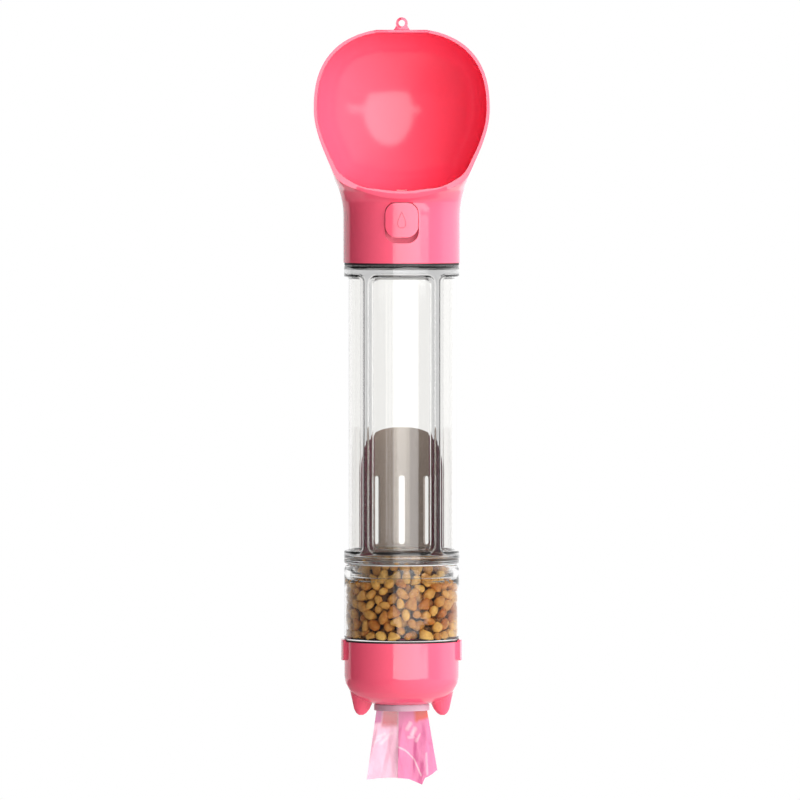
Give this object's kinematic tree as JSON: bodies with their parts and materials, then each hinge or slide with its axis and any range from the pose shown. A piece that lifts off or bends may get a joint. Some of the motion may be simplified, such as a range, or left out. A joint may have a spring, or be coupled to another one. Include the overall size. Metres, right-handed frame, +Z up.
{
  "type": "dog travel water bottle",
  "caption": "Hand-held travel bottle for dogs: drinking dish with push valve, clear bottle and food cup, cat-eared waste-bag box, scoop on the back.",
  "frame": {"origin": "centre of the lanyard eye's hole, at the top of the drinking dish", "axes": "+Z up along the bottle, -Y out of the dish's opening, +X to the right of someone facing the dish"},
  "size_m": [0.091, 0.0652, 0.3991],
  "materials": {
    "pink_shell": "glossy pink moulded plastic",
    "clear_plastic": "clear moulded plastic",
    "inner_plastic": "satin white plastic",
    "black_rubber": "matt black rubber",
    "soft_clear_rubber": "soft translucent rubber",
    "pale_rubber": "pale pink soft rubber",
    "spring_steel": "bright spring wire",
    "dry_food": "baked golden-brown pellets",
    "roll_film": "rolled pink film",
    "bag_film": "thin translucent pink film",
    "card_core": "grey-brown card",
    "taupe_plastic": "satin taupe plastic"
  },
  "bodies": {
    "head": {"bowl_shell": "pink_shell", "thread_insert": "inner_plastic", "valve_body": "inner_plastic", "stem_oring": "black_rubber", "valve_bridge": "inner_plastic", "outlet_duct": "inner_plastic", "valve_spring": "spring_steel"},
    "lock": {"lock_slider": "inner_plastic", "button_spring": "spring_steel"},
    "button": {"push_button": "pink_shell"},
    "valve": {"valve_stem": "inner_plastic", "valve_plug": "black_rubber"},
    "gasket": {"neck_gasket": "black_rubber"},
    "bottle": {"water_bottle": "clear_plastic"},
    "cup_ring": {"cup_seal": "soft_clear_rubber"},
    "cup": {"food_cup": "clear_plastic", "kibble": "dry_food"},
    "box_ring": {"box_seal": "black_rubber"},
    "box": {"bag_box": "pink_shell", "exit_ring": "pale_rubber"},
    "roll": {"bag_roll": "roll_film", "roll_core": "card_core"},
    "film": {"bag_film": "bag_film"},
    "scoop_blade": {"scoop": "taupe_plastic"}
  },
  "joints": [
    {"name": "lock_slide", "type": "slide", "parent": "head", "child": "lock", "axis": [0, 0, -1], "range_m": [0, 0.0028]},
    {"name": "button_press", "type": "slide", "parent": "lock", "child": "button", "axis": [0, 1, 0], "range_m": [0, 0.0022], "stiffness_N_per_m": 300, "springref_m": -0.001, "deforming": ["button_spring"]},
    {"name": "valve_lift", "type": "slide", "parent": "head", "child": "valve", "axis": [0, 0, 1], "range_m": [0, 0.0022], "deforming": ["valve_spring"]},
    {"name": "bottle_drop", "type": "slide", "parent": "head", "child": "gasket", "axis": [0, 0, -1], "range_m": [0, 0.007]},
    {"name": "bottle_unscrew", "type": "hinge", "parent": "gasket", "child": "bottle", "pos_m": [0, 0.0311, -0.1256], "axis": [0, 0, 1], "range_deg": [0, 630.5]},
    {"name": "cup_drop", "type": "slide", "parent": "bottle", "child": "cup_ring", "axis": [0, 0, -1], "range_m": [0, 0.007]},
    {"name": "cup_unscrew", "type": "hinge", "parent": "cup_ring", "child": "cup", "pos_m": [0, 0.0311, -0.1256], "axis": [0, 0, 1], "range_deg": [0, 630.5]},
    {"name": "box_drop", "type": "slide", "parent": "cup", "child": "box_ring", "axis": [0, 0, -1], "range_m": [0, 0.007]},
    {"name": "box_unscrew", "type": "hinge", "parent": "box_ring", "child": "box", "pos_m": [0, 0.0311, -0.1256], "axis": [0, 0, 1], "range_deg": [0, 630.5]},
    {"name": "roll_spin", "type": "hinge", "parent": "box", "child": "roll", "pos_m": [0, 0.0311, -0.3371], "axis": [1, 0, 0], "range_deg": [0, 57.6]},
    {"name": "film_pull", "type": "slide", "parent": "box", "child": "film", "axis": [0, 0, -1], "range_m": [0, 0.012]},
    {"name": "scoop_pull", "type": "slide", "parent": "bottle", "child": "scoop_blade", "axis": [0, 1, 0], "range_m": [0, 0.03]}
  ],
  "couplings": [
    {"joint": "valve_lift", "follows": "button_press", "ratio": 1},
    {"joint": "bottle_unscrew", "follows": "bottle_drop", "rad_per_m": 1570.8},
    {"joint": "cup_unscrew", "follows": "cup_drop", "rad_per_m": 1570.8},
    {"joint": "box_unscrew", "follows": "box_drop", "rad_per_m": 1570.8},
    {"joint": "roll_spin", "follows": "film_pull", "rad_per_m": 83.333}
  ]
}
